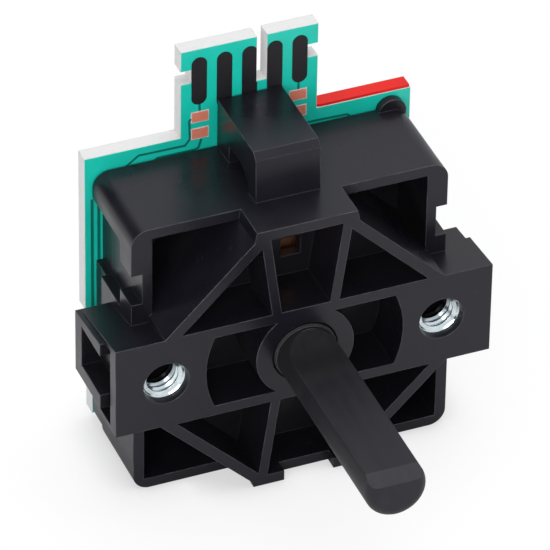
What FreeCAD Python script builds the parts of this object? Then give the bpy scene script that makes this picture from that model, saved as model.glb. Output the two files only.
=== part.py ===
import FreeCAD, Part
import math
import os
from FreeCAD import Vector

# Cooker selector potentiometer: ribbed housing, D shaft, wiper, board with edge contacts.
# Frame: origin on the shaft axis at the front mounting plane, +X right, +Z up, -Y to the user.

# Main sizes, millimetres
SCREW_SPACING = 28.0
SHAFT_RADIUS = 3.0
JOURNAL_RADIUS = 3.15
COLLAR_LENGTH = 0.25
SHAFT_FREE_LENGTH = 22.65
FLAT_HEIGHT = 1.5
FLAT_START = 3.4
FLAT_RUN = 2.9
TIP_ROUND = 1.0
TIP_BEVEL_LENGTH = 1.85
TIP_BEVEL_DROP = 0.47
RUNNING_CLEARANCE = 0.08
MOVING_GAP = 0.35

# Housing
HALF_WIDTH = 15.98
HALF_HEIGHT = 15.07
WALL = 1.1
THICK_WALL = 2.1
CORNER_ROUND = 1.7
UPPER_SETBACK = 4.1
LOWER_SETBACK_LEFT = 3.6
LOWER_SETBACK_RIGHT = 2.75
SHELL_DEPTH = 14.3
REAR_FRAME_LENGTH = 2.3
POCKET_FLOOR = 1.0
LEDGE_HEIGHT = 4.66
FLANGE_LOW = 12.3
STRIP_LENGTH = 2.9
NOTCH_LOW = 6.7
NOTCH_HIGH = 10.1
FOOT_NOTCH_LEFT = -1.9
FOOT_NOTCH_RIGHT = 3.2
FOOT_NOTCH_DEPTH = 1.4

# Ribs of the front
RIB = 1.1
BRACE_REACH = 19.2
LOWER_BRACE_REACH = 19.65
ROOF_HALF_TOP = 5.05
ROOF_HALF_BASE = 5.3
UPRIGHT_INNER_LOW = 2.45
UPRIGHT_INNER_HIGH = 3.65
UPRIGHT_THICKNESS = 0.95
EAR_HALF_HEIGHT = 5.05
HUB_RADIUS = 4.95
RING_POCKET_RADIUS = 10.0
DECK_DEPTH = 5.5
DECK_THICKNESS = 1.1
LEAD_IN = 0.1

# Ears
EAR_HALF_WIDTH = 19.1
EAR_WALL = 0.9
EAR_FRONT_PLATE = 1.4
EAR_BACK_PLATE = 1.2
LEFT_EAR_DEPTH = 9.4
LEFT_EAR_BACK_HALF_HEIGHT = 3.45
LEFT_EAR_BEND = 4.6
LEFT_EAR_LIP = 0.5
LEFT_EAR_LIP_START = 2.8
LEFT_EAR_LIP_HIGH = 4.1
LEFT_EAR_ROOM_LOW = -1.9
LEFT_EAR_ROOM_HIGH = 2.75
LEFT_EAR_ROOM_DEPTH = 7.75
EAR_SKIN = 0.5
RIGHT_EAR_DEPTH = 7.65
RIGHT_EAR_BACK_HALF_HEIGHT = 4.3
RIGHT_EAR_STEP = 0.45
RIGHT_EAR_STEP_DEPTH = 5.4

# Threaded inserts
INSERT_RADIUS = 2.85
INSERT_LENGTH = 2.8
INSERT_RECESS = 0.8
THREAD_RADIUS = 1.72
MOUTH_RADIUS = 2.3
THROUGH_RADIUS = 2.05
SCREW_DEPTH = 7.3

# Clip block on the roof
CLIP_LEFT = -3.4
CLIP_RIGHT = 3.1
CLIP_HEIGHT = 5.3
CLIP_FRONT = 4.45
CLIP_LEAN = 0.2
CLIP_BEVEL = 0.65

# Board
BOARD_GAP = 0.3
BOARD_THICKNESS = 1.55
BOARD_SHIFT = -0.1
BOARD_MARGIN = 0.6
BOARD_TOP = 16.65
BOARD_BOTTOM = -13.7
BOARD_STEP = 0.64
BOARD_STEP_HEIGHT = -1.0
TAB_HALF_WIDTH = 6.93
TAB_TOP = 26.4
TAB_NOTCH_DEPTH = 1.05
TAB_NOTCH_LOW = 22.75
TAB_NOTCH_HIGH = 24.2
SLOT_LEFT = 0.73
SLOT_RIGHT = 1.73
SLOT_BOTTOM = 21.35
MASK_THICKNESS = 0.06
PRINT_THICKNESS = 0.1
FINGER_PITCH = 2.54
FINGER_HALF_WIDTH = 0.77
FINGER_LOW = 20.15
MIDDLE_FINGER_LOW = 19.3
FINGER_HIGH = 25.5
PAD_X = 4.97
PAD_HALF_WIDTH = 0.8
PAD_ROWS = ((18.18, 19.24), (16.27, 17.36))
PAD_OUTLINE = 0.14
PEG_RADIUS = 1.43
PEG_X = 14.3
PEG_Z = 14.8
LOWER_PEG_X = -13.0
LOWER_PEG_Z = -10.4
TRACK_INNER = 8.2
TRACK_OUTER = 10.2
COLLECTOR_INNER = 5.4
COLLECTOR_OUTER = 7.0
TRAVEL_HALF_ANGLE = 150.0
PAINT_LEFT = 7.3
PAINT_THICKNESS = 0.28

# Moving parts
CHAMBER_RADIUS = 11.2
ROTOR_THICKNESS = 2.2
ROTOR_HUB_RADIUS = 4.9
ROTOR_HUB_LENGTH = 1.5
WASHER_INNER = 5.6
WASHER_OUTER = 9.2
WASHER_THICKNESS = 0.25
WASHER_RISE = 0.45
STOP_HALF_ANGLE = 20.0
LUG_HALF_ANGLE = 8.0
SPRING_THICKNESS = 0.25
SPRING_HALF_WIDTH = 0.6

# Derived positions
FAR = 60.0
INSERT_X = SCREW_SPACING / 2.0
INNER_TOP = HALF_HEIGHT - WALL
JOINT_DEPTH = SHELL_DEPTH - REAR_FRAME_LENGTH
POCKET_DEPTH = JOINT_DEPTH - POCKET_FLOOR
CROSS_HIGH = EAR_HALF_HEIGHT + 0.1
CROSS_LOW = CROSS_HIGH - RIB
DECK_BACK = DECK_DEPTH + DECK_THICKNESS
BOARD_FRONT = SHELL_DEPTH + BOARD_GAP
BOARD_HALF_WIDTH = HALF_WIDTH + BOARD_MARGIN
BOARD_BACK = BOARD_FRONT + BOARD_THICKNESS
MASK_FRONT = BOARD_FRONT - MASK_THICKNESS
PRINT_FRONT = BOARD_FRONT - PRINT_THICKNESS
ROTOR_RADIUS = CHAMBER_RADIUS - MOVING_GAP
ROTOR_FRONT = DECK_BACK + WASHER_RISE + WASHER_THICKNESS + MOVING_GAP
ROTOR_BACK = ROTOR_FRONT + ROTOR_THICKNESS
BORE_RADIUS = JOURNAL_RADIUS + RUNNING_CLEARANCE


def block(x0, x1, y0, y1, z0, z1):
    """Rectangular block between two corners."""
    return Part.makeBox(x1 - x0, y1 - y0, z1 - z0, Vector(x0, y0, z0))


def upright(solid):
    """Solid with its faces looking outwards."""
    if solid.Volume < 0.0:
        return solid.reversed()
    return solid


def prism(points, y0, y1):
    """Outline given as (x, z) pairs, pushed along Y."""
    corners = [Vector(x, y0, z) for x, z in points]
    wire = Part.makePolygon(corners + [corners[0]])
    return upright(Part.Face(wire).extrude(Vector(0, y1 - y0, 0)))


def side_prism(points, x0, x1):
    """Outline given as (y, z) pairs, pushed along X."""
    corners = [Vector(x0, y, z) for y, z in points]
    wire = Part.makePolygon(corners + [corners[0]])
    return upright(Part.Face(wire).extrude(Vector(x1 - x0, 0, 0)))


def disc(radius, y0, y1, x=0.0, z=0.0):
    """Cylinder along Y."""
    return Part.makeCylinder(radius, y1 - y0, Vector(x, y0, z), Vector(0, 1, 0))


def ring(inner, outer, y0, y1):
    """Tube along Y on the shaft axis."""
    return disc(outer, y0, y1).cut(disc(inner, y0 - 1.0, y1 + 1.0))


def direction(angle, radius):
    """Point at an angle from +X, measured towards +Z."""
    turn = math.radians(angle)
    return (radius * math.cos(turn), radius * math.sin(turn))


def sector(inner, outer, y0, y1, middle, half):
    """Part of a tube between two angles."""
    reach = outer * 3.0
    steps = 8
    points = [(0.0, 0.0)]
    for step in range(steps + 1):
        points.append(direction(middle - half + 2.0 * half * step / steps, reach))
    return ring(inner, outer, y0, y1).common(prism(points, y0, y1))


def rounded_box(half_width, half_height, radius, y0, y1):
    """Box with its four long edges rounded."""
    solid = block(-half_width, half_width, y0, y1, -half_height, half_height)
    edges = []
    for edge in solid.Edges:
        box = edge.BoundBox
        if box.YLength > (y1 - y0) * 0.99:
            edges.append(edge)
    return solid.makeFillet(radius, edges)


def both_sides(shape):
    """Shape with its mirror image across the middle plane."""
    return shape.fuse(shape.mirror(Vector(0, 0, 0), Vector(1, 0, 0)))


def flip_height(shape):
    """Mirror image across the horizontal plane of the shaft."""
    return shape.mirror(Vector(0, 0, 0), Vector(0, 0, 1))


def stadium(x, low, high, half_width, y0, y1):
    """Flat strip with rounded ends."""
    strip = block(x - half_width, x + half_width, y0, y1, low + half_width, high - half_width)
    strip = strip.fuse(disc(half_width, y0, y1, x, low + half_width))
    return strip.fuse(disc(half_width, y0, y1, x, high - half_width)).removeSplitter()


def save(name, shape):
    """Write one piece."""
    shape.exportStep(os.path.join("parts", name + ".step"))


def brace_point(height, reach):
    """Half width of the outer brace line at a height."""
    return reach - height


def brace_outline(reach):
    """Corners of the ribbed front from the roof down to the ear."""
    return [
        (ROOF_HALF_TOP, HALF_HEIGHT),
        (ROOF_HALF_BASE, reach - ROOF_HALF_BASE),
        (brace_point(EAR_HALF_HEIGHT, reach), EAR_HALF_HEIGHT),
    ]


def front_outline():
    """Outline of the ribbed front without the ears."""
    upper = brace_outline(BRACE_REACH)
    lower = [(x, -z) for x, z in reversed(brace_outline(LOWER_BRACE_REACH))]
    right = upper + lower
    left = [(-x, z) for x, z in reversed(right)]
    return right + left


def rib_windows(reach):
    """Three openings between the ribs above the shaft."""
    inner = reach - RIB * math.sqrt(2.0)
    middle = prism([
        (-UPRIGHT_INNER_LOW, CROSS_HIGH),
        (UPRIGHT_INNER_LOW, CROSS_HIGH),
        (UPRIGHT_INNER_HIGH, INNER_TOP),
        (-UPRIGHT_INNER_HIGH, INNER_TOP),
    ], -1.0, DECK_DEPTH)
    lean = (UPRIGHT_INNER_HIGH - UPRIGHT_INNER_LOW) / (INNER_TOP - CROSS_HIGH)
    foot = UPRIGHT_INNER_LOW + UPRIGHT_THICKNESS
    # Height where the upright and the brace meet
    meet = (inner - foot + lean * CROSS_HIGH) / (1.0 + lean)
    side = prism([
        (foot, CROSS_HIGH),
        (inner - CROSS_HIGH, CROSS_HIGH),
        (inner - meet, meet),
    ], -1.0, DECK_DEPTH)
    return [middle, both_sides(side)]


def make_box():
    """Box behind the ribs, with a roof that reaches back to the board."""
    body = rounded_box(HALF_WIDTH, HALF_HEIGHT, CORNER_ROUND, UPPER_SETBACK, JOINT_DEPTH)
    for side, setback in ((-1, LOWER_SETBACK_LEFT), (1, LOWER_SETBACK_RIGHT)):
        lower = rounded_box(HALF_WIDTH, HALF_HEIGHT, CORNER_ROUND, setback, UPPER_SETBACK)
        x0 = min(0.0, side * FAR)
        body = body.fuse(lower.common(block(x0, x0 + FAR, 0, FAR, -FAR, -EAR_HALF_HEIGHT)))
    hood = rounded_box(HALF_WIDTH, HALF_HEIGHT, CORNER_ROUND, JOINT_DEPTH, SHELL_DEPTH)
    hood = hood.cut(block(-FAR, FAR, 0, FAR, -FAR, FLANGE_LOW))
    room = HALF_WIDTH - WALL
    hood = hood.cut(block(-room, room, 0, FAR, 0, INNER_TOP))
    body = body.fuse(hood)
    # Side walls set in behind the front strip, between the roof edge and the ledge
    recess = block(room, FAR, UPPER_SETBACK + STRIP_LENGTH, FAR, LEDGE_HEIGHT, FLANGE_LOW)
    notch = block(room, FAR, 0, UPPER_SETBACK + STRIP_LENGTH + 0.1, NOTCH_LOW, NOTCH_HIGH)
    return body.cut(both_sides(recess.fuse(notch)))


def make_clip():
    """Clip block on the roof."""
    top = HALF_HEIGHT + CLIP_HEIGHT
    lean_y = CLIP_FRONT + CLIP_LEAN
    clip = side_prism([
        (CLIP_FRONT, INNER_TOP + 0.5),
        (lean_y, top - CLIP_BEVEL),
        (lean_y + CLIP_BEVEL, top),
        (SHELL_DEPTH, top),
        (SHELL_DEPTH, INNER_TOP + 0.5),
    ], CLIP_LEFT, CLIP_RIGHT)
    # Hollow on the left, low down
    return clip.cut(side_prism([
        (CLIP_FRONT + 1.85, HALF_HEIGHT),
        (CLIP_FRONT + 2.15, HALF_HEIGHT + 0.9),
        (CLIP_FRONT + 2.85, HALF_HEIGHT + 1.65),
        (CLIP_FRONT + 3.75, HALF_HEIGHT + 2.05),
        (CLIP_FRONT + 6.85, HALF_HEIGHT + 2.05),
        (CLIP_FRONT + 6.85, HALF_HEIGHT),
    ], CLIP_LEFT - 1.0, CLIP_RIGHT - WALL))


def ear_profile(depth, back_half_height, plates, wall):
    """Side outline of an ear, or of the room inside it."""
    slope = (EAR_HALF_HEIGHT - back_half_height) / depth
    y_front = plates[0]
    y_back = depth - plates[1]
    z_front = EAR_HALF_HEIGHT - slope * y_front - wall
    z_back = EAR_HALF_HEIGHT - slope * y_back - wall
    return [(y_front, -z_front), (y_back, -z_back), (y_back, z_back), (y_front, z_front)]


def make_ears():
    """Mounting ears: a lipped end on the left, a stepped end on the right."""
    left = ear_profile(LEFT_EAR_DEPTH, LEFT_EAR_BACK_HALF_HEIGHT, (0.0, 0.0), 0.0)
    right = ear_profile(RIGHT_EAR_DEPTH, RIGHT_EAR_BACK_HALF_HEIGHT, (0.0, 0.0), 0.0)
    # The underside on the left stays level before it rises to the back
    left.insert(1, (LEFT_EAR_BEND, -EAR_HALF_HEIGHT))
    ears = side_prism(left, -EAR_HALF_WIDTH, 0.0)
    lip = side_prism([
        (LEFT_EAR_LIP_START, -LEFT_EAR_BACK_HALF_HEIGHT),
        (LEFT_EAR_DEPTH, -LEFT_EAR_BACK_HALF_HEIGHT),
        (LEFT_EAR_DEPTH, LEFT_EAR_BACK_HALF_HEIGHT),
        (LEFT_EAR_LIP_START, LEFT_EAR_LIP_HIGH),
    ], -EAR_HALF_WIDTH - LEFT_EAR_LIP, -EAR_HALF_WIDTH + 0.1)
    ears = ears.fuse(lip)
    ears = ears.fuse(side_prism(right, 0.0, EAR_HALF_WIDTH))
    return ears.cut(block(
        EAR_HALF_WIDTH - RIGHT_EAR_STEP, FAR, RIGHT_EAR_STEP_DEPTH, FAR, -FAR, FAR))


def ear_rooms():
    """Hollows of the ears, open at their ends, with the bosses of the inserts left standing."""
    plates = (EAR_FRONT_PLATE, EAR_BACK_PLATE)
    skin = EAR_HALF_HEIGHT - EAR_SKIN
    # Thick frame on the left, with a slot before it and a gap under it
    left = [
        (EAR_FRONT_PLATE, -skin),
        (LEFT_EAR_BEND, -skin),
        (LEFT_EAR_BEND, -LEFT_EAR_BACK_HALF_HEIGHT),
        (LEFT_EAR_LIP_START, -LEFT_EAR_BACK_HALF_HEIGHT),
        (LEFT_EAR_LIP_START, LEFT_EAR_ROOM_LOW),
        (LEFT_EAR_ROOM_DEPTH, LEFT_EAR_ROOM_LOW),
        (LEFT_EAR_ROOM_DEPTH, LEFT_EAR_ROOM_HIGH),
        (LEFT_EAR_LIP_START, LEFT_EAR_ROOM_HIGH),
        (LEFT_EAR_LIP_START, LEFT_EAR_LIP_HIGH),
        (EAR_FRONT_PLATE, skin - EAR_SKIN / 2.0),
    ]
    right = ear_profile(RIGHT_EAR_DEPTH, RIGHT_EAR_BACK_HALF_HEIGHT, plates, EAR_WALL)
    rooms = []
    for outline, side in ((left, -1), (right, 1)):
        boss = disc(INSERT_RADIUS + WALL, 0, FAR, side * INSERT_X)
        x0 = min(side * HALF_WIDTH, side * FAR)
        rooms.append(side_prism(outline, x0, x0 + FAR - HALF_WIDTH).cut(boss))
    return rooms


def corner_pocket(reach, outer):
    """Deep pocket outside an upper brace, on both sides."""
    room = block(0, outer, -1.0, POCKET_DEPTH, CROSS_HIGH, INNER_TOP)
    return both_sides(room.cut(prism([(0, 0), (reach, 0), (0, reach)], -2.0, FAR)))


def make_housing():
    body = make_box()
    body = body.fuse(prism(front_outline(), 0.0, DECK_BACK))
    body = body.fuse(make_ears())
    body = body.fuse(make_clip())
    # Peg that locates the board
    body = body.fuse(disc(PEG_RADIUS, SHELL_DEPTH - 0.6, BOARD_BACK - 0.2, PEG_X, PEG_Z))

    # Deep pockets in the four corners
    cuts = [
        corner_pocket(BRACE_REACH, HALF_WIDTH - THICK_WALL),
        flip_height(corner_pocket(LOWER_BRACE_REACH, HALF_WIDTH - WALL)),
    ]
    cuts.extend(rib_windows(BRACE_REACH))
    for window in rib_windows(LOWER_BRACE_REACH):
        cuts.append(flip_height(window))
    # Ring pocket round the hub
    pocket = disc(RING_POCKET_RADIUS, -1.0, DECK_DEPTH)
    pocket = pocket.common(block(-FAR, FAR, -2, FAR, -CROSS_LOW, CROSS_LOW))
    cuts.append(pocket.cut(disc(HUB_RADIUS, -2.0, FAR)))
    # Gap between the feet
    cuts.append(block(
        FOOT_NOTCH_LEFT, FOOT_NOTCH_RIGHT, -1, FOOT_NOTCH_DEPTH, -FAR, -INNER_TOP))
    cuts.extend(ear_rooms())
    # Room for the moving parts
    cuts.append(disc(CHAMBER_RADIUS, DECK_BACK, FAR))
    # Bore with a small lead-in
    cuts.append(disc(BORE_RADIUS, -1.0, FAR))
    cuts.append(Part.makeCone(
        BORE_RADIUS + LEAD_IN, BORE_RADIUS, 0.3, Vector(0, 0, 0), Vector(0, 1, 0)))
    # Peep hole in the deck over the spring washer
    cuts.append(block(
        -0.4, 1.6, DECK_DEPTH - 1.0, DECK_BACK + 0.5, WASHER_OUTER - 1.9, WASHER_OUTER + 0.2))
    # Insert seats
    for x in (-INSERT_X, INSERT_X):
        cuts.append(disc(MOUTH_RADIUS, -1.0, INSERT_RECESS + 0.1, x))
        cuts.append(disc(INSERT_RADIUS, INSERT_RECESS, INSERT_RECESS + INSERT_LENGTH, x))
        cuts.append(disc(THROUGH_RADIUS, INSERT_RECESS, SCREW_DEPTH, x))
    for cut in cuts:
        body = body.cut(cut)
    # Stop block for the turning lug
    stop = sector(
        WASHER_OUTER + 0.3, CHAMBER_RADIUS + 0.2, DECK_BACK - 0.2,
        ROTOR_FRONT - MOVING_GAP, -90.0, STOP_HALF_ANGLE)
    return body.fuse(stop).removeSplitter()


def make_rear_frame():
    """Frame between the housing and the board, inset a little from the walls."""
    inset = 0.45
    wide = HALF_WIDTH - inset
    narrow = HALF_WIDTH - WALL
    frame = block(-wide, wide, JOINT_DEPTH, MASK_FRONT, -LEDGE_HEIGHT, LEDGE_HEIGHT)
    # Full width below the ears, with rounded lower corners
    skirt = rounded_box(HALF_WIDTH, HALF_HEIGHT - inset, CORNER_ROUND, JOINT_DEPTH, MASK_FRONT)
    frame = frame.fuse(skirt.cut(block(-FAR, FAR, 0, FAR, -LEDGE_HEIGHT + inset, FAR)))
    frame = frame.fuse(block(-narrow, narrow, JOINT_DEPTH, MASK_FRONT, 0.0, INNER_TOP))
    frame = frame.cut(disc(CHAMBER_RADIUS, 0.0, FAR))
    frame = frame.cut(disc(PEG_RADIUS, 0.0, FAR, PEG_X, PEG_Z))
    return frame.fuse(
        disc(PEG_RADIUS, MASK_FRONT - 0.5, BOARD_BACK - 0.2, LOWER_PEG_X, LOWER_PEG_Z)
    ).removeSplitter()


def make_insert(x):
    """Threaded insert with a bevelled mouth."""
    y0 = INSERT_RECESS
    y1 = INSERT_RECESS + INSERT_LENGTH
    insert = disc(INSERT_RADIUS, y0, y1, x)
    insert = insert.cut(disc(THREAD_RADIUS, 0.0, FAR, x))
    lead = Part.makeCone(MOUTH_RADIUS - 0.15, THREAD_RADIUS, 0.45, Vector(x, y0, 0), Vector(0, 1, 0))
    return insert.cut(lead)


def board_outline(inset):
    """Corner points of the board, moved inwards by a margin."""
    notch = TAB_HALF_WIDTH - TAB_NOTCH_DEPTH - inset
    low = BOARD_BOTTOM + inset
    shoulder = BOARD_TOP - inset
    wide = BOARD_HALF_WIDTH - inset
    tab = TAB_HALF_WIDTH - inset
    top = TAB_TOP - inset
    right = [
        (wide - BOARD_STEP, low),
        (wide - BOARD_STEP, BOARD_STEP_HEIGHT - inset),
        (wide, BOARD_STEP_HEIGHT - inset),
        (wide, shoulder),
        (tab, shoulder),
        (tab, TAB_NOTCH_LOW - inset),
        (notch, TAB_NOTCH_LOW - inset),
        (notch, TAB_NOTCH_HIGH + inset),
        (tab, TAB_NOTCH_HIGH + inset),
        (tab, top),
    ]
    slot = [
        (SLOT_RIGHT + inset, top),
        (SLOT_RIGHT + inset, SLOT_BOTTOM - inset),
        (SLOT_LEFT - inset, SLOT_BOTTOM - inset),
        (SLOT_LEFT - inset, top),
    ]
    left = [(-x, z) for x, z in reversed(right)]
    return [(x + BOARD_SHIFT, z) for x, z in right + slot + left]


def peg_holes(y0, y1):
    """Holes for the two locating pegs."""
    upper = disc(PEG_RADIUS, y0, y1, PEG_X, PEG_Z)
    return upper.fuse(disc(PEG_RADIUS, y0, y1, LOWER_PEG_X, LOWER_PEG_Z))


def finger(index):
    """One carbon edge contact; the middle ones are trimmed by the slot."""
    x = (index - 2) * FINGER_PITCH + BOARD_SHIFT
    low = MIDDLE_FINGER_LOW if index in (1, 2, 3) else FINGER_LOW
    strip = stadium(x, low, FINGER_HIGH, FINGER_HALF_WIDTH, PRINT_FRONT, BOARD_FRONT)
    slot = block(
        SLOT_LEFT + BOARD_SHIFT - 0.05, SLOT_RIGHT + BOARD_SHIFT + 0.05,
        0, FAR, SLOT_BOTTOM - 0.1, FAR)
    return strip.cut(slot)


def pad(side, row, margin, y0, y1):
    """One copper pad."""
    low, high = PAD_ROWS[row]
    x = side * PAD_X + BOARD_SHIFT
    reach = PAD_HALF_WIDTH + margin
    return block(x - reach, x + reach, y0, y1, low - margin, high + margin)


def make_mask():
    """Green lacquer on the front of the board, open over the prints."""
    mask = prism(board_outline(0.05), MASK_FRONT, BOARD_FRONT)
    mask = mask.cut(peg_holes(0.0, FAR))
    for index in range(5):
        mask = mask.cut(finger(index))
    for side in (-1, 1):
        for row in (0, 1):
            mask = mask.cut(pad(side, row, PAD_OUTLINE, 0.0, FAR))
    return mask.cut(disc(CHAMBER_RADIUS - 0.3, 0.0, FAR))


def make_board():
    return prism(board_outline(0.0), BOARD_FRONT, BOARD_BACK).cut(peg_holes(0.0, FAR))


def make_paint():
    """Red marking paint along the right shoulder edge."""
    y0 = BOARD_FRONT + 0.05
    y1 = BOARD_BACK - 0.05
    middle = (y0 + y1) / 2.0
    right = BOARD_HALF_WIDTH + BOARD_SHIFT - 0.1
    low = BOARD_TOP
    strip = block(PAINT_LEFT, right, y0, y1, low, low + PAINT_THICKNESS)
    end = Part.makeCylinder(
        (y1 - y0) / 2.0, PAINT_THICKNESS, Vector(PAINT_LEFT, middle, low), Vector(0, 0, 1))
    strip = strip.fuse(end).removeSplitter()
    return strip.cut(block(-FAR, TAB_HALF_WIDTH + BOARD_SHIFT + 0.1, 0, FAR, 0, FAR))


def make_washer():
    """Shallow spring washer between the deck and the turning disc."""
    y0 = DECK_BACK
    rise = WASHER_RISE
    points = [
        Vector(WASHER_OUTER, y0, 0),
        Vector(WASHER_INNER, y0 + rise, 0),
        Vector(WASHER_INNER, y0 + rise + WASHER_THICKNESS, 0),
        Vector(WASHER_OUTER, y0 + WASHER_THICKNESS, 0),
    ]
    face = Part.Face(Part.makePolygon(points + [points[0]]))
    return upright(face.revolve(Vector(0, 0, 0), Vector(0, 1, 0), 360))


def shaft_profile():
    """Half section of the shaft: journal, collar edge, free shaft and rounded tip."""
    rear = ROTOR_BACK + ROTOR_HUB_LENGTH
    tip = -SHAFT_FREE_LENGTH
    shoulder = SHAFT_RADIUS - TIP_ROUND
    middle = TIP_ROUND * (1.0 - math.sqrt(0.5))
    edge = (JOURNAL_RADIUS - SHAFT_RADIUS) * 0.8
    arc = Part.Arc(
        Vector(shoulder, tip, 0),
        Vector(SHAFT_RADIUS - middle, tip + middle, 0),
        Vector(SHAFT_RADIUS, tip + TIP_ROUND, 0))
    corners = [
        Vector(SHAFT_RADIUS, tip + TIP_ROUND, 0),
        Vector(SHAFT_RADIUS, -COLLAR_LENGTH, 0),
        Vector(JOURNAL_RADIUS - edge, -COLLAR_LENGTH, 0),
        Vector(JOURNAL_RADIUS, -COLLAR_LENGTH + edge, 0),
        Vector(JOURNAL_RADIUS, rear, 0),
        Vector(0, rear, 0),
        Vector(0, tip, 0),
        Vector(shoulder, tip, 0),
    ]
    return Part.Wire([arc.toShape()] + [Part.makeLine(a, b) for a, b in zip(corners, corners[1:])])


def flat_cutter():
    """Body that cuts the flat, with a bevelled end and a hollow run-out near the housing."""
    tip = -SHAFT_FREE_LENGTH
    high = SHAFT_RADIUS + 0.2
    run = FLAT_RUN
    rise = high - FLAT_HEIGHT
    radius = (run * run + rise * rise) / (2.0 * rise)
    half_turn = math.atan(rise / run)
    run_out = Part.Arc(
        Vector(-5, -FLAT_START, FLAT_HEIGHT),
        Vector(-5, -FLAT_START + radius * math.sin(half_turn),
               FLAT_HEIGHT + radius * (1.0 - math.cos(half_turn))),
        Vector(-5, -FLAT_START + run, high))
    corners = [
        Vector(-5, -FLAT_START + run, high),
        Vector(-5, tip - 1.0, high),
        Vector(-5, tip - 1.0, FLAT_HEIGHT - TIP_BEVEL_DROP * (1.0 + 1.0 / TIP_BEVEL_LENGTH)),
        Vector(-5, tip + TIP_BEVEL_LENGTH, FLAT_HEIGHT),
        Vector(-5, -FLAT_START, FLAT_HEIGHT),
    ]
    sides = [run_out.toShape()] + [Part.makeLine(a, b) for a, b in zip(corners, corners[1:])]
    return upright(Part.Face(Part.Wire(sides)).extrude(Vector(10, 0, 0)))


def make_shaft():
    """D shaft with a collar at the bore, a rounded tip and a bevel at the end of the flat."""
    face = Part.Face(shaft_profile())
    return upright(face.revolve(Vector(0, 0, 0), Vector(0, 1, 0), 360)).cut(flat_cutter())


def make_rotor():
    """Wiper carrier fixed on the shaft."""
    rotor = disc(ROTOR_RADIUS, ROTOR_FRONT, ROTOR_BACK)
    rotor = rotor.fuse(disc(ROTOR_HUB_RADIUS, ROTOR_BACK - 0.5, ROTOR_BACK + ROTOR_HUB_LENGTH))
    lug = sector(
        WASHER_OUTER + 0.3, ROTOR_RADIUS, DECK_BACK + MOVING_GAP, ROTOR_FRONT + 0.5,
        90.0, LUG_HALF_ANGLE)
    rotor = rotor.fuse(lug)
    return rotor.cut(disc(JOURNAL_RADIUS, 0.0, FAR)).removeSplitter()


def spring_arm(radius, side):
    """Arm bent from the plate towards the board, ending over one track."""
    foot = ROTOR_BACK
    tip = PRINT_FRONT - MOVING_GAP
    t = SPRING_THICKNESS
    root = ROTOR_HUB_RADIUS + 0.5
    points = [
        (foot, root),
        (foot, root + 1.2),
        (tip - t, radius + 0.15),
        (tip - 1.3 * t, radius + 0.7),
        (tip - 0.3 * t, radius + 0.8),
        (tip, radius + 0.3),
        (tip, radius - 0.1),
        (foot + t, root + 1.0),
        (foot + t, root),
    ]
    if side < 0:
        points = [(y, -z) for y, z in points]
    return side_prism(points, -SPRING_HALF_WIDTH, SPRING_HALF_WIDTH)


def make_spring():
    """Contact spring joining the track and the collector ring."""
    plate = ring(
        ROTOR_HUB_RADIUS, ROTOR_HUB_RADIUS + 1.4, ROTOR_BACK, ROTOR_BACK + SPRING_THICKNESS)
    track_middle = (TRACK_INNER + TRACK_OUTER) / 2.0
    plate = plate.fuse(spring_arm(track_middle - 0.2, -1))
    other = (COLLECTOR_INNER + COLLECTOR_OUTER) / 2.0 + 0.35
    return plate.fuse(spring_arm(other, 1)).removeSplitter()


os.makedirs("parts", exist_ok=True)
save("front_housing", make_housing())
save("rear_frame", make_rear_frame())
save("threaded_insert_left", make_insert(-INSERT_X))
save("threaded_insert_right", make_insert(INSERT_X))
save("circuit_board", make_board())
save("solder_mask", make_mask())
for number in range(5):
    save("contact_finger_%d" % (number + 1), finger(number))
save("copper_pad_upper_left", pad(-1, 0, 0.0, PRINT_FRONT, BOARD_FRONT))
save("copper_pad_lower_left", pad(-1, 1, 0.0, PRINT_FRONT, BOARD_FRONT))
save("copper_pad_upper_right", pad(1, 0, 0.0, PRINT_FRONT, BOARD_FRONT))
save("copper_pad_lower_right", pad(1, 1, 0.0, PRINT_FRONT, BOARD_FRONT))
save("resistive_track", sector(
    TRACK_INNER, TRACK_OUTER, PRINT_FRONT, BOARD_FRONT, -90.0, TRAVEL_HALF_ANGLE + 10.0))
save("collector_ring", ring(COLLECTOR_INNER, COLLECTOR_OUTER, PRINT_FRONT, BOARD_FRONT))
save("red_paint_mark", make_paint())
save("spring_washer", make_washer())
save("shaft", make_shaft())
save("wiper_carrier", make_rotor())
save("wiper_spring", make_spring())
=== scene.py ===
import math
import bpy
from mathutils import Matrix, Vector


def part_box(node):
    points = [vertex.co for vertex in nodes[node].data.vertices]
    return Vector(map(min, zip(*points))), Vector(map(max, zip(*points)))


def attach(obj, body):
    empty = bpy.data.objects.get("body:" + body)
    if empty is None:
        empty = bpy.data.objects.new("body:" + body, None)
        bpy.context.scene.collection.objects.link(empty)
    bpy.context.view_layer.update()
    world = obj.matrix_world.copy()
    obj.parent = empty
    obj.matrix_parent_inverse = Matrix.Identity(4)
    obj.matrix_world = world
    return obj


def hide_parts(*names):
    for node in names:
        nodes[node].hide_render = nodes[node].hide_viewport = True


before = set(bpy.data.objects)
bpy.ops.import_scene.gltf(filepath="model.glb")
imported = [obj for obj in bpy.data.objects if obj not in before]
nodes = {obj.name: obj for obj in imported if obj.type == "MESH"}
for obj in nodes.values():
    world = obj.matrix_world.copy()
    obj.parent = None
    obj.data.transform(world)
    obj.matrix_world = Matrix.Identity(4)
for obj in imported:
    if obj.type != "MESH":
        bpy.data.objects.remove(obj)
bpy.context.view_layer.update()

# Blender's lengths are in metres, and this turns millimetres into them
MM = 0.001
MASK_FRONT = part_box("solder_mask")[0].y
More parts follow.
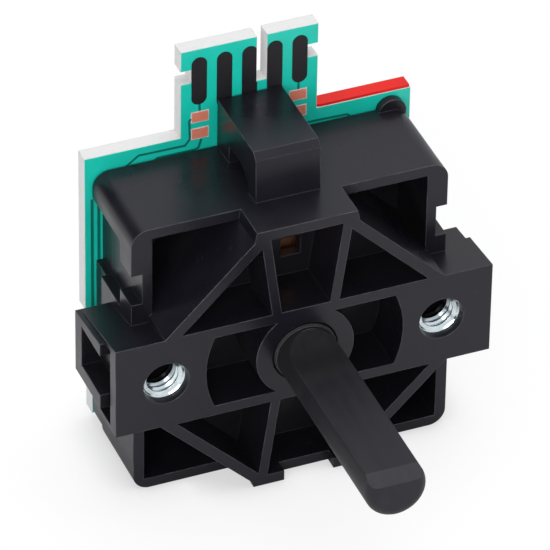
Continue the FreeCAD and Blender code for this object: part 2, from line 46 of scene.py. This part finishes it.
# A hair under the housing, so that the two faces don't fall together
FLOOR_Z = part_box("front_housing")[0].z - 0.02 * MM
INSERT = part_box("threaded_insert_right")
HOUSING_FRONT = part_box("front_housing")[0].y
PADS = ("upper_left", "lower_left", "upper_right", "lower_right")
FINGERS = 5
BEVEL_SAMPLES = 6
OPEN_SAMPLES = 4


# Materials

def new_material(name):
    """Empty material with a principled surface."""
    mat = bpy.data.materials.new(name)
    mat.use_nodes = True
    tree = mat.node_tree
    tree.nodes.clear()
    out = tree.nodes.new("ShaderNodeOutputMaterial")
    bsdf = tree.nodes.new("ShaderNodeBsdfPrincipled")
    tree.links.new(bsdf.outputs["BSDF"], out.inputs["Surface"])
    return mat, tree, bsdf


def noise(tree, scale, detail=3.0, rough=0.5, stretch=(1.0, 1.0, 1.0)):
    """Noise over object coordinates; scale is in features per millimetre."""
    coords = tree.nodes.new("ShaderNodeTexCoord")
    mapping = tree.nodes.new("ShaderNodeMapping")
    per_mm = scale / MM
    mapping.inputs["Scale"].default_value = tuple(s * per_mm for s in stretch)
    tree.links.new(coords.outputs["Object"], mapping.inputs["Vector"])
    tex = tree.nodes.new("ShaderNodeTexNoise")
    tex.inputs["Scale"].default_value = 1.0
    tex.inputs["Detail"].default_value = detail
    tex.inputs["Roughness"].default_value = rough
    tree.links.new(mapping.outputs["Vector"], tex.inputs["Vector"])
    return tex.outputs["Fac"]


def spread(tree, value, low_out, high_out, low_in=0.3, high_in=0.7):
    """Value mapped to another range, and held at its ends."""
    node = tree.nodes.new("ShaderNodeMapRange")
    node.inputs["From Min"].default_value = low_in
    node.inputs["From Max"].default_value = high_in
    node.inputs["To Min"].default_value = low_out
    node.inputs["To Max"].default_value = high_out
    tree.links.new(value, node.inputs["Value"])
    return node.outputs["Result"]


def blend_colours(tree, value, first, second):
    """Colour between two colours; either may be a socket."""
    node = tree.nodes.new("ShaderNodeMix")
    node.data_type = "RGBA"
    for name, colour in (("A", first), ("B", second)):
        if isinstance(colour, tuple):
            node.inputs[name].default_value = (*colour, 1.0)
        else:
            tree.links.new(colour, node.inputs[name])
    tree.links.new(value, node.inputs["Factor"])
    return node.outputs["Result"]


def blend_values(tree, value, first, second):
    """Number between two numbers; either may be a socket."""
    node = tree.nodes.new("ShaderNodeMix")
    node.data_type = "FLOAT"
    for name, number in (("A", first), ("B", second)):
        if isinstance(number, float):
            node.inputs[name].default_value = number
        else:
            tree.links.new(number, node.inputs[name])
    tree.links.new(value, node.inputs["Factor"])
    return node.outputs["Result"]


def combine(tree, operation, first, second):
    """Product, sum or larger of two values."""
    node = tree.nodes.new("ShaderNodeMath")
    node.operation = operation
    tree.links.new(first, node.inputs[0])
    tree.links.new(second, node.inputs[1])
    return node.outputs["Value"]


def openness(tree, reach, samples=OPEN_SAMPLES):
    """1 on open faces, less where other faces stand within reach, in millimetres."""
    node = tree.nodes.new("ShaderNodeAmbientOcclusion")
    node.samples = samples
    node.inputs["Distance"].default_value = reach * MM
    return node.outputs["AO"]


def along_y(tree, low_out, high_out, low_y, high_y):
    """Value that changes with the place along Y, in metres."""
    coords = tree.nodes.new("ShaderNodeTexCoord")
    split = tree.nodes.new("ShaderNodeSeparateXYZ")
    tree.links.new(coords.outputs["Object"], split.inputs["Vector"])
    return spread(tree, split.outputs["Y"], low_out, high_out, low_y, high_y)


def rounded(tree, edge):
    """Normal rounded over near edges; edge is the radius in millimetres."""
    node = tree.nodes.new("ShaderNodeBevel")
    node.samples = BEVEL_SAMPLES
    node.inputs["Radius"].default_value = edge * MM
    return node.outputs["Normal"]


def near_edge(tree, normal):
    """1 at outer edges, 0 on open faces and in corners."""
    shape = tree.nodes.new("ShaderNodeNewGeometry")
    same = tree.nodes.new("ShaderNodeVectorMath")
    same.operation = "DOT_PRODUCT"
    tree.links.new(normal, same.inputs[0])
    tree.links.new(shape.outputs["True Normal"], same.inputs[1])
    turned = spread(tree, same.outputs["Value"], 1.0, 0.0, 0.80, 0.985)
    outer = spread(tree, openness(tree, 0.4), 0.12, 1.0, 0.66, 0.92)
    return combine(tree, "MULTIPLY", turned, outer)


def surface_normal(tree, bsdf, height, strength, distance, edge):
    """Fine relief, distance millimetres deep, over softly rounded edges."""
    normal = rounded(tree, edge) if edge else None
    bump = tree.nodes.new("ShaderNodeBump")
    bump.inputs["Strength"].default_value = strength
    bump.inputs["Distance"].default_value = distance * MM
    tree.links.new(height, bump.inputs["Height"])
    if normal:
        tree.links.new(normal, bump.inputs["Normal"])
    tree.links.new(bump.outputs["Normal"], bsdf.inputs["Normal"])


# Black plastics: tint of the gloss, pale edges that are partly rubbed wear and partly painted
# highlight, and painted shade in deep pockets
COOL = (0.95, 0.93, 1.0)
WEAR_AND_HIGHLIGHT = (0.128, 0.126, 0.138)
POCKET_SHADE = (0.001, 0.001, 0.0012)
HOUSING_BLACK = (0.0051, 0.0048, 0.0078)
SHAFT_DARK, SHAFT_PALE = (0.0074, 0.0070, 0.0098), (0.0124, 0.0119, 0.0154)
# Painted shade of the shaft where it leaves the housing
SHAFT_ROOT_SHADE = (0.003, 0.0028, 0.0034)
# Other colours, in pairs where a surface varies between two
# The second zinc colour is painted shade deep in the bore
ZINC_BRIGHT, ZINC_SHADED = (0.76, 0.85, 0.88), (0.006, 0.007, 0.008)
COPPER_DARK, COPPER_PALE = (0.66, 0.19, 0.115), (0.80, 0.265, 0.175)
MASK_DARK, MASK_PALE = (0.003, 0.47, 0.365), (0.010, 0.575, 0.45)
BOARD_DARK, BOARD_PALE = (0.61, 0.61, 0.60), (0.765, 0.76, 0.755)
BOARD_GRIME = (0.30, 0.27, 0.24)
CARBON_BLACK = (0.0075, 0.0072, 0.0088)


def plastic(name, base, rough, edge=0.10, relief=0.35, grain=6.0, sheen=0.5, tint=None, wear_and_highlight=None):
    """Moulded plastic with faint grain and uneven gloss.

    With an edge colour it also gets pale edges, partly rubbed wear and partly painted highlight,
    scuffs, and painted shade in its pockets, where the gloss is dull too.
    """
    mat, tree, bsdf = new_material(name)
    patches = noise(tree, 0.22, 2.0)
    fine = noise(tree, grain, 3.0)
    light = tuple(min(1.0, c * 1.35 + 0.001) for c in base)
    colour = blend_colours(tree, patches, base, light)
    gloss = spread(tree, patches, rough - 0.05, rough + 0.06)
    bsdf.inputs["Specular IOR Level"].default_value = sheen
    if wear_and_highlight:
        uneven = spread(tree, noise(tree, 0.6, 5.0, 0.6), 0.15, 1.0, 0.38, 0.60)
        # Pale edges: partly rubbed wear, partly a painted highlight where edges catch the light
        rub_and_highlight = combine(tree, "MULTIPLY", near_edge(tree, rounded(tree, edge)), uneven)
        scuffs = spread(tree, noise(tree, 2.2, 5.0, 0.65, (1.0, 0.35, 1.0)), 0.0, 0.16, 0.62, 0.80)
        marks_and_highlight = combine(tree, "MAXIMUM", rub_and_highlight, scuffs)
        colour = blend_colours(tree, marks_and_highlight, colour, wear_and_highlight)
        # Painted shade: colour goes to near black and gloss goes dull deep in pockets
        open_face = spread(tree, openness(tree, 6.0), 0.12, 1.0, 0.08, 0.36)
        colour = blend_colours(tree, open_face, POCKET_SHADE, colour)
        gloss = blend_values(tree, open_face, 1.0, gloss)
    tree.links.new(colour, bsdf.inputs["Base Color"])
    tree.links.new(gloss, bsdf.inputs["Roughness"])
    if tint:
        bsdf.inputs["Specular Tint"].default_value = (*tint, 1.0)
    surface_normal(tree, bsdf, fine, relief, 0.006, edge)
    return mat


def metal(name, base, rough):
    """Plated or rolled metal."""
    mat, tree, bsdf = new_material(name)
    bsdf.inputs["Metallic"].default_value = 1.0
    patches = noise(tree, 0.8, 3.0)
    fine = noise(tree, 9.0, 2.0)
    dark = tuple(c * 0.82 for c in base)
    tree.links.new(blend_colours(tree, patches, dark, base), bsdf.inputs["Base Color"])
    tree.links.new(spread(tree, patches, rough - 0.06, rough + 0.08), bsdf.inputs["Roughness"])
    surface_normal(tree, bsdf, fine, 0.3, 0.004, 0.05)
    return mat


def shaft_material():
    """Plastic of the shaft, faintly streaked along it, dull and with painted shade where it leaves
    the housing.
    """
    mat, tree, bsdf = new_material("shaft_black")
    streaks = spread(tree, noise(tree, 0.8, 4.0, 0.6, (1.0, 0.12, 1.0)), 0.0, 1.0, 0.34, 0.66)
    smudges = noise(tree, 0.9, 5.0, 0.7, (1.0, 0.5, 1.0))
    fine = noise(tree, 6.0, 3.0)
    colour = blend_colours(tree, streaks, SHAFT_DARK, SHAFT_PALE)
    # Pale edges outside the housing, partly rubbed wear and partly painted highlight, and a strong
    # painted glint on the rim of the collar
    edges = near_edge(tree, rounded(tree, 0.12))
    rub_and_highlight = combine(tree, "MULTIPLY", edges, spread(tree, smudges, 0.35, 1.0))
    outside = along_y(tree, 0.45, 0.0, HOUSING_FRONT - 4.5 * MM, HOUSING_FRONT - 2.5 * MM)
    collar_glint = along_y(tree, 0.0, 5.0, HOUSING_FRONT - 0.7 * MM, HOUSING_FRONT - 0.5 * MM)
    rub_and_highlight = combine(tree, "MULTIPLY", rub_and_highlight, combine(tree, "ADD", outside, collar_glint))
    # Painted shade where the shaft leaves the housing: darker colour, duller gloss
    root = along_y(tree, 0.0, 1.0, HOUSING_FRONT - 7.0 * MM, HOUSING_FRONT - 4.6 * MM)
    colour = blend_colours(tree, root, colour, SHAFT_ROOT_SHADE)
    tree.links.new(blend_colours(tree, rub_and_highlight, colour, WEAR_AND_HIGHLIGHT), bsdf.inputs["Base Color"])
    tip_gloss = spread(tree, smudges, 0.40, 0.46)
    root_gloss = spread(tree, smudges, 0.72, 0.92)
    tree.links.new(blend_values(tree, root, tip_gloss, root_gloss), bsdf.inputs["Roughness"])
    bsdf.inputs["Specular IOR Level"].default_value = 0.36
    bsdf.inputs["Specular Tint"].default_value = (*COOL, 1.0)
    surface_normal(tree, bsdf, fine, 0.5, 0.006, 0.16)
    return mat


def insert_material():
    """Bright zinc at the mouth of the bore, with painted shade deeper in."""
    mat, tree, bsdf = new_material("zinc_plate")
    bsdf.inputs["Metallic"].default_value = 1.0
    mouth = INSERT[0].y
    # Painted shade from 1.45 to 1.95 mm into the bore
    depth = along_y(tree, 0.0, 1.0, mouth + 1.45 * MM, mouth + 1.95 * MM)
    tree.links.new(blend_colours(tree, depth, ZINC_BRIGHT, ZINC_SHADED), bsdf.inputs["Base Color"])
    patches = noise(tree, 0.8, 3.0)
    fine = noise(tree, 9.0, 2.0)
    tree.links.new(spread(tree, patches, 0.10, 0.22), bsdf.inputs["Roughness"])
    surface_normal(tree, bsdf, fine, 0.3, 0.004, 0.05)
    return mat


def copper_material():
    """Bare copper pad with a dull film."""
    mat, tree, bsdf = new_material("copper_pad")
    patches = noise(tree, 1.6, 3.0)
    fine = noise(tree, 9.0, 2.0)
    film = blend_colours(tree, patches, COPPER_DARK, COPPER_PALE)
    tree.links.new(film, bsdf.inputs["Base Color"])
    bsdf.inputs["Metallic"].default_value = 0.12
    bsdf.inputs["Roughness"].default_value = 0.42
    surface_normal(tree, bsdf, fine, 0.3, 0.004, 0.0)
    return mat


def mask_material():
    """Green lacquer over board fabric."""
    mat, tree, bsdf = new_material("green_lacquer")
    patches = noise(tree, 0.35, 2.0)
    weave = noise(tree, 2.4, 2.0)
    tree.links.new(blend_colours(tree, patches, MASK_DARK, MASK_PALE), bsdf.inputs["Base Color"])
    tree.links.new(spread(tree, patches, 0.28, 0.38), bsdf.inputs["Roughness"])
    surface_normal(tree, bsdf, weave, 0.22, 0.01, 0.0)
    return mat


def board_material():
    """Pale board core with layered, slightly frayed cut edges."""
    mat, tree, bsdf = new_material("board_core")
    fibre = noise(tree, 1.0, 4.0, 0.6, stretch=(1.2, 7.0, 1.2))
    speck = noise(tree, 5.0, 2.0)
    pale = blend_colours(tree, fibre, BOARD_DARK, BOARD_PALE)
    patchy = spread(tree, noise(tree, 1.4, 4.0), 0.0, 0.75, 0.46, 0.62)
    grime = combine(tree, "MULTIPLY", near_edge(tree, rounded(tree, 0.12)), patchy)
    tree.links.new(blend_colours(tree, grime, pale, BOARD_GRIME), bsdf.inputs["Base Color"])
    bsdf.inputs["Roughness"].default_value = 0.62
    surface_normal(tree, bsdf, speck, 0.6, 0.02, 0.06)
    return mat


MOULDED = dict(edge=0.13, sheen=0.41, tint=COOL, wear_and_highlight=WEAR_AND_HIGHLIGHT)
BLACK = plastic("housing_black", HOUSING_BLACK, 0.30, **MOULDED)
FRAME_BLACK = plastic("frame_black", HOUSING_BLACK, 0.34, **MOULDED)
CARRIER = plastic("carrier_white", (0.50, 0.49, 0.45), 0.45)
CARBON = plastic("carbon_black", CARBON_BLACK, 0.50, edge=0.0, relief=0.6, grain=9.0, sheen=0.38)
BRONZE = metal("bronze_strip", (0.95, 0.42, 0.22), 0.36)
SILVER = metal("silver_print", (0.72, 0.72, 0.70), 0.45)
RED = plastic("red_paint", (0.58, 0.012, 0.009), 0.45, edge=0.05, relief=0.5, grain=2.2, sheen=0.2)
SHAFT_BLACK = shaft_material()
ZINC = insert_material()
COPPER = copper_material()
MASK = mask_material()
CORE = board_material()
TRACE = plastic("trace_green", (0.001, 0.118, 0.090), 0.34, edge=0.0, relief=0.2)


def dress(obj, mat):
    """One material all over a node."""
    obj.data.materials.clear()
    obj.data.materials.append(mat)
    for face in obj.data.polygons:
        face.material_index = 0


dress(nodes["front_housing"], BLACK)
dress(nodes["rear_frame"], FRAME_BLACK)
dress(nodes["threaded_insert_left"], ZINC)
dress(nodes["threaded_insert_right"], ZINC)
dress(nodes["circuit_board"], CORE)
dress(nodes["solder_mask"], MASK)
for number in range(1, FINGERS + 1):
    dress(nodes["contact_finger_%d" % number], CARBON)
for name in PADS:
    dress(nodes["copper_pad_" + name], COPPER)
dress(nodes["resistive_track"], CARBON)
dress(nodes["collector_ring"], SILVER)
dress(nodes["red_paint_mark"], RED)
dress(nodes["spring_washer"], BRONZE)
dress(nodes["shaft"], SHAFT_BLACK)
dress(nodes["wiper_carrier"], CARRIER)
dress(nodes["wiper_spring"], BRONZE)


# Meshes

def make_piece(name, verts, faces, mat, body):
    """New piece from points in metres."""
    mesh = bpy.data.meshes.new(name)
    mesh.from_pydata(verts, [], faces)
    mesh.validate()
    mesh.update()
    obj = bpy.data.objects.new(name, mesh)
    bpy.context.scene.collection.objects.link(obj)
    mesh.materials.append(mat)
    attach(obj, body)
    return obj


# Place of the inserts on both sides, and the bevel at their mouths, in millimetres
EAR_X = 14.0
MOUTH = 0.14


def threaded_insert(name, x, node):
    """Insert with a real helical thread in its bore, in place of the plain one.

    Lengths are in millimetres. The profile gives the thread over one turn, each point as
    its share of the pitch and its radius.
    """
    y0 = INSERT[0].y / MM
    y1 = INSERT[1].y / MM
    outer = (INSERT[1].z - INSERT[0].z) / MM / 2.0
    root, crest, pitch, steps = 2.0, 1.64, 0.7, 72
    start = y0 + MOUTH
    profile = [(0.0, root), (0.06, root), (0.42, crest), (0.58, crest), (0.94, root)]
    turns = int((y1 - start) / pitch) + 1
    verts, faces = [], []
    column = (turns + 2) * len(profile)
    for i in range(steps + 1):
        angle = 2.0 * math.pi * i / steps
        for k in range(-1, turns + 1):
            for t, r in profile:
                y = start + pitch * (k + t + i / steps)
                if y < start:
                    y, r = start, root
                if y > y1:
                    y, r = y1, root
                verts.append(((x + r * math.cos(angle)) * MM, y * MM, r * math.sin(angle) * MM))
    for i in range(steps):
        for j in range(column - 1):
            a = i * column + j
            faces.append((a, a + 1, a + column + 1, a + column))
    # Body of the insert round the thread
    rings = [(start, root), (y0, root + MOUTH), (y0, outer), (y1, outer), (y1, root)]
    first = len(verts)
    for i in range(steps):
        angle = 2.0 * math.pi * i / steps
        for y, r in rings:
            verts.append(((x + r * math.cos(angle)) * MM, y * MM, r * math.sin(angle) * MM))
    count = len(rings)
    for i in range(steps):
        for j in range(count - 1):
            a = first + i * count + j
            b = first + ((i + 1) % steps) * count + j
            faces.append((a, b, b + 1, a + 1))
    piece = make_piece(name, verts, faces, ZINC, "housing_body")
    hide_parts(node)


threaded_insert("insert_thread_left", -EAR_X, "threaded_insert_left")
threaded_insert("insert_thread_right", EAR_X, "threaded_insert_right")

# Height of the rims and conductors over the lacquer, and how far both reach into it
RIM_RISE = 0.008 * MM
TRACE_RISE = 0.012 * MM
SUNK = 0.01 * MM


def pad_rim(name, node, width=0.11):
    """Bare board showing as a pale line between a copper pad and the lacquer."""
    pad_low, pad_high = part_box(node)
    verts = []
    for y in (MASK_FRONT - RIM_RISE, MASK_FRONT + SUNK):
        for grow in (width * MM, 0.0):
            x0, x1 = pad_low.x - grow, pad_high.x + grow
            z0, z1 = pad_low.z - grow, pad_high.z + grow
            verts += [(x0, y, z0), (x1, y, z0), (x1, y, z1), (x0, y, z1)]
    faces = []
    for i in range(4):
        j = (i + 1) % 4
        faces += [
            (i, j, j + 4, i + 4), (i + 8, i + 12, j + 12, j + 8),
            (i, i + 8, j + 8, j), (i + 4, j + 4, j + 12, i + 12)]
    make_piece(name, verts, faces, CORE, "housing_body")


for name in PADS:
    pad_rim("pad_rim_" + name, "copper_pad_" + name)


def ribbon(points, half):
    """Outline points on both sides of a line, mitred at its corners."""
    left, right = [], []
    for i, (x, z) in enumerate(points):
        before = points[max(i - 1, 0)]
        after = points[min(i + 1, len(points) - 1)]
        d1 = Vector((x - before[0], z - before[1]))
        d2 = Vector((after[0] - x, after[1] - z))
        if d1.length == 0:
            d1 = d2.copy()
        if d2.length == 0:
            d2 = d1.copy()
        d1.normalize()
        d2.normalize()
        n = Vector((-(d1.y + d2.y), d1.x + d2.x))
        n.normalize()
        scale = half / max(0.4, n.dot(Vector((-d1.y, d1.x))))
        left.append((x + n.x * scale, z + n.y * scale))
        right.append((x - n.x * scale, z - n.y * scale))
    return left, right


def trace(name, points, width=0.24):
    """Raised conductor under the lacquer, along points in millimetres."""
    left, right = ribbon(points, width / 2.0)
    front, back = MASK_FRONT - TRACE_RISE, MASK_FRONT + SUNK
    verts, faces = [], []
    for (lx, lz), (rx, rz) in zip(left, right):
        verts.append((lx * MM, front, lz * MM))
        verts.append((rx * MM, front, rz * MM))
        verts.append((rx * MM, back, rz * MM))
        verts.append((lx * MM, back, lz * MM))
    for i in range(len(points) - 1):
        a = i * 4
        b = a + 4
        faces.append((a, a + 1, b + 1, b))
        faces.append((a + 1, a + 2, b + 2, b + 1))
        faces.append((a + 3, a, b, b + 3))
        faces.append((a + 2, a + 3, b + 3, b + 2))
    faces.append((0, 3, 2, 1))
    a = (len(points) - 1) * 4
    faces.append((a, a + 1, a + 2, a + 3))
    make_piece(name, verts, faces, TRACE, "housing_body")


trace("trace_left_outer", [
    (-5.95, 18.62), (-6.15, 18.45), (-6.07, 16.34), (-6.57, 15.72),
    (-11.26, 15.77), (-12.48, 14.83), (-13.3, 14.1)])
trace("trace_left_inner", [
    (-4.93, 16.1), (-5.18, 15.2), (-5.55, 15.02), (-9.36, 15.02), (-10.4, 14.1)])
trace("trace_right_outer", [(4.9, 16.1), (5.2, 15.5), (5.84, 15.27), (9.95, 15.16), (11.0, 14.1)])
trace("trace_side_outer", [(-15.93, 11.9), (-15.93, -0.8)], 0.3)
trace("trace_side_inner", [(-15.26, 11.9), (-15.26, -10.0)], 0.3)
trace("trace_finger_left", [(-5.14, 20.2), (-5.1, 19.35)], 0.22)
trace("trace_finger_right", [(4.9, 20.2), (4.88, 19.35)], 0.22)


# Floor, light and camera

# Half the side of the floor, in metres
FLOOR_REACH = 3.0
# Share of plain white in the floor as the camera sees it, and its shade close to the part
FLOOR_GLOW = 0.78
CONTACT_SHADE = (0.74, 0.74, 0.74)
WHITE = (1.0, 1.0, 1.0)


def floor_material():
    """Pale matt floor that keeps soft shadows and stays white to the camera."""
    mat = bpy.data.materials.new("floor_white")
    mat.use_nodes = True
    tree = mat.node_tree
    tree.nodes.clear()
    out = tree.nodes.new("ShaderNodeOutputMaterial")
    grey = tree.nodes.new("ShaderNodeBsdfDiffuse")
    grey.inputs["Color"].default_value = (0.72, 0.72, 0.72, 1.0)
    pale = tree.nodes.new("ShaderNodeBsdfDiffuse")
    pale.inputs["Color"].default_value = (0.94, 0.94, 0.94, 1.0)
    white = tree.nodes.new("ShaderNodeEmission")
    white.inputs["Strength"].default_value = 1.0
    away = spread(tree, openness(tree, 4.5, samples=8), 0.0, 1.0, 0.45, 0.92)
    tree.links.new(blend_colours(tree, away, CONTACT_SHADE, WHITE), white.inputs["Color"])
    seen = tree.nodes.new("ShaderNodeMixShader")
    seen.inputs["Fac"].default_value = FLOOR_GLOW
    tree.links.new(pale.outputs["BSDF"], seen.inputs[1])
    tree.links.new(white.outputs["Emission"], seen.inputs[2])
    path = tree.nodes.new("ShaderNodeLightPath")
    mix = tree.nodes.new("ShaderNodeMixShader")
    tree.links.new(path.outputs["Is Camera Ray"], mix.inputs["Fac"])
    tree.links.new(grey.outputs["BSDF"], mix.inputs[1])
    tree.links.new(seen.outputs["Shader"], mix.inputs[2])
    tree.links.new(mix.outputs["Shader"], out.inputs["Surface"])
    return mat


floor_mesh = bpy.data.meshes.new("floor")
floor_mesh.from_pydata(
    [(x * FLOOR_REACH, y * FLOOR_REACH, FLOOR_Z) for x, y in ((-1, -1), (1, -1), (1, 1), (-1, 1))],
    [], [(0, 1, 2, 3)])
floor = bpy.data.objects.new("floor", floor_mesh)
bpy.context.scene.collection.objects.link(floor)
floor_mesh.materials.append(floor_material())


# Way to the middle of the dark patch, as seen from the part
DARK_SIDE = (-0.60, 0.74, 0.30)


def make_world():
    """Even studio light, dark low down behind on the left, white to the camera."""
    world = bpy.data.worlds.new("studio")
    bpy.context.scene.world = world
    world.use_nodes = True
    tree = world.node_tree
    tree.nodes.clear()
    out = tree.nodes.new("ShaderNodeOutputWorld")
    coords = tree.nodes.new("ShaderNodeTexCoord")
    toward = tree.nodes.new("ShaderNodeVectorMath")
    toward.operation = "DOT_PRODUCT"
    toward.inputs[1].default_value = DARK_SIDE
    tree.links.new(coords.outputs["Generated"], toward.inputs[0])
    level = spread(tree, toward.outputs["Value"], 0.80, 0.06, 0.78, 0.96)
    soft = tree.nodes.new("ShaderNodeBackground")
    soft.inputs["Color"].default_value = (0.97, 0.98, 1.0, 1.0)
    tree.links.new(level, soft.inputs["Strength"])
    white = tree.nodes.new("ShaderNodeBackground")
    white.inputs["Color"].default_value = (*WHITE, 1.0)
    white.inputs["Strength"].default_value = 1.0
    path = tree.nodes.new("ShaderNodeLightPath")
    mix = tree.nodes.new("ShaderNodeMixShader")
    tree.links.new(path.outputs["Is Camera Ray"], mix.inputs["Fac"])
    tree.links.new(soft.outputs["Background"], mix.inputs[1])
    tree.links.new(white.outputs["Background"], mix.inputs[2])
    tree.links.new(mix.outputs["Shader"], out.inputs["Surface"])


make_world()


def softbox(name, place, size, power):
    """Large square light pointed at the part; place and size in metres, power in watts."""
    data = bpy.data.lights.new(name, "AREA")
    data.shape = "SQUARE"
    data.size = size
    data.energy = power
    obj = bpy.data.objects.new(name, data)
    bpy.context.scene.collection.objects.link(obj)
    obj.location = place
    toward = -Vector(place)
    obj.rotation_euler = toward.to_track_quat("-Z", "Y").to_euler()


softbox("top_light", (0.05, 0.10, 0.55), 0.42, 1.0)
softbox("front_light", (-0.22, -0.52, 0.36), 0.30, 1.3)
softbox("left_light", (-0.38, -0.34, 0.21), 0.16, 0.6)

# Camera as found from the photo: angles in degrees, distance and shift of the part in
# millimetres, focal length and centre of the picture in pixels
TURN, HEIGHT, ROLL = 21.983, 37.0325, 0.6219
FOCAL_PX, DISTANCE = 5879.5, 553.93
SHIFT = (7.3015, -7.0837)
CENTRE_PX = (227.706, 275.586)
PHOTO_PX = 550.0
SENSOR = 36.0
turn, height, roll = (math.radians(v) for v in (TURN, HEIGHT, ROLL))
toward_eye = Vector((
    -math.sin(turn) * math.cos(height), -math.cos(turn) * math.cos(height), math.sin(height)))
forward = -toward_eye
right = Vector((math.cos(turn), -math.sin(turn), 0.0))
up = right.cross(forward)
view_right = math.cos(roll) * right + math.sin(roll) * up
view_up = -math.sin(roll) * right + math.cos(roll) * up
place = (-SHIFT[0] * view_right - SHIFT[1] * view_up - DISTANCE * forward) * MM
cam_data = bpy.data.cameras.new("camera")
cam_data.sensor_width = SENSOR
cam_data.lens = FOCAL_PX / PHOTO_PX * SENSOR
cam_data.shift_x = (PHOTO_PX / 2.0 - CENTRE_PX[0]) / PHOTO_PX
cam_data.shift_y = (CENTRE_PX[1] - PHOTO_PX / 2.0) / PHOTO_PX
cam_data.clip_start = 0.01
cam_data.clip_end = 20.0
camera = bpy.data.objects.new("camera", cam_data)
bpy.context.scene.collection.objects.link(camera)
camera.rotation_mode = "QUATERNION"
axes = Matrix((view_right, view_up, -forward)).transposed()
camera.rotation_quaternion = axes.to_quaternion()
camera.location = place
bpy.context.scene.camera = camera

bpy.context.scene.view_settings.view_transform = "Standard"
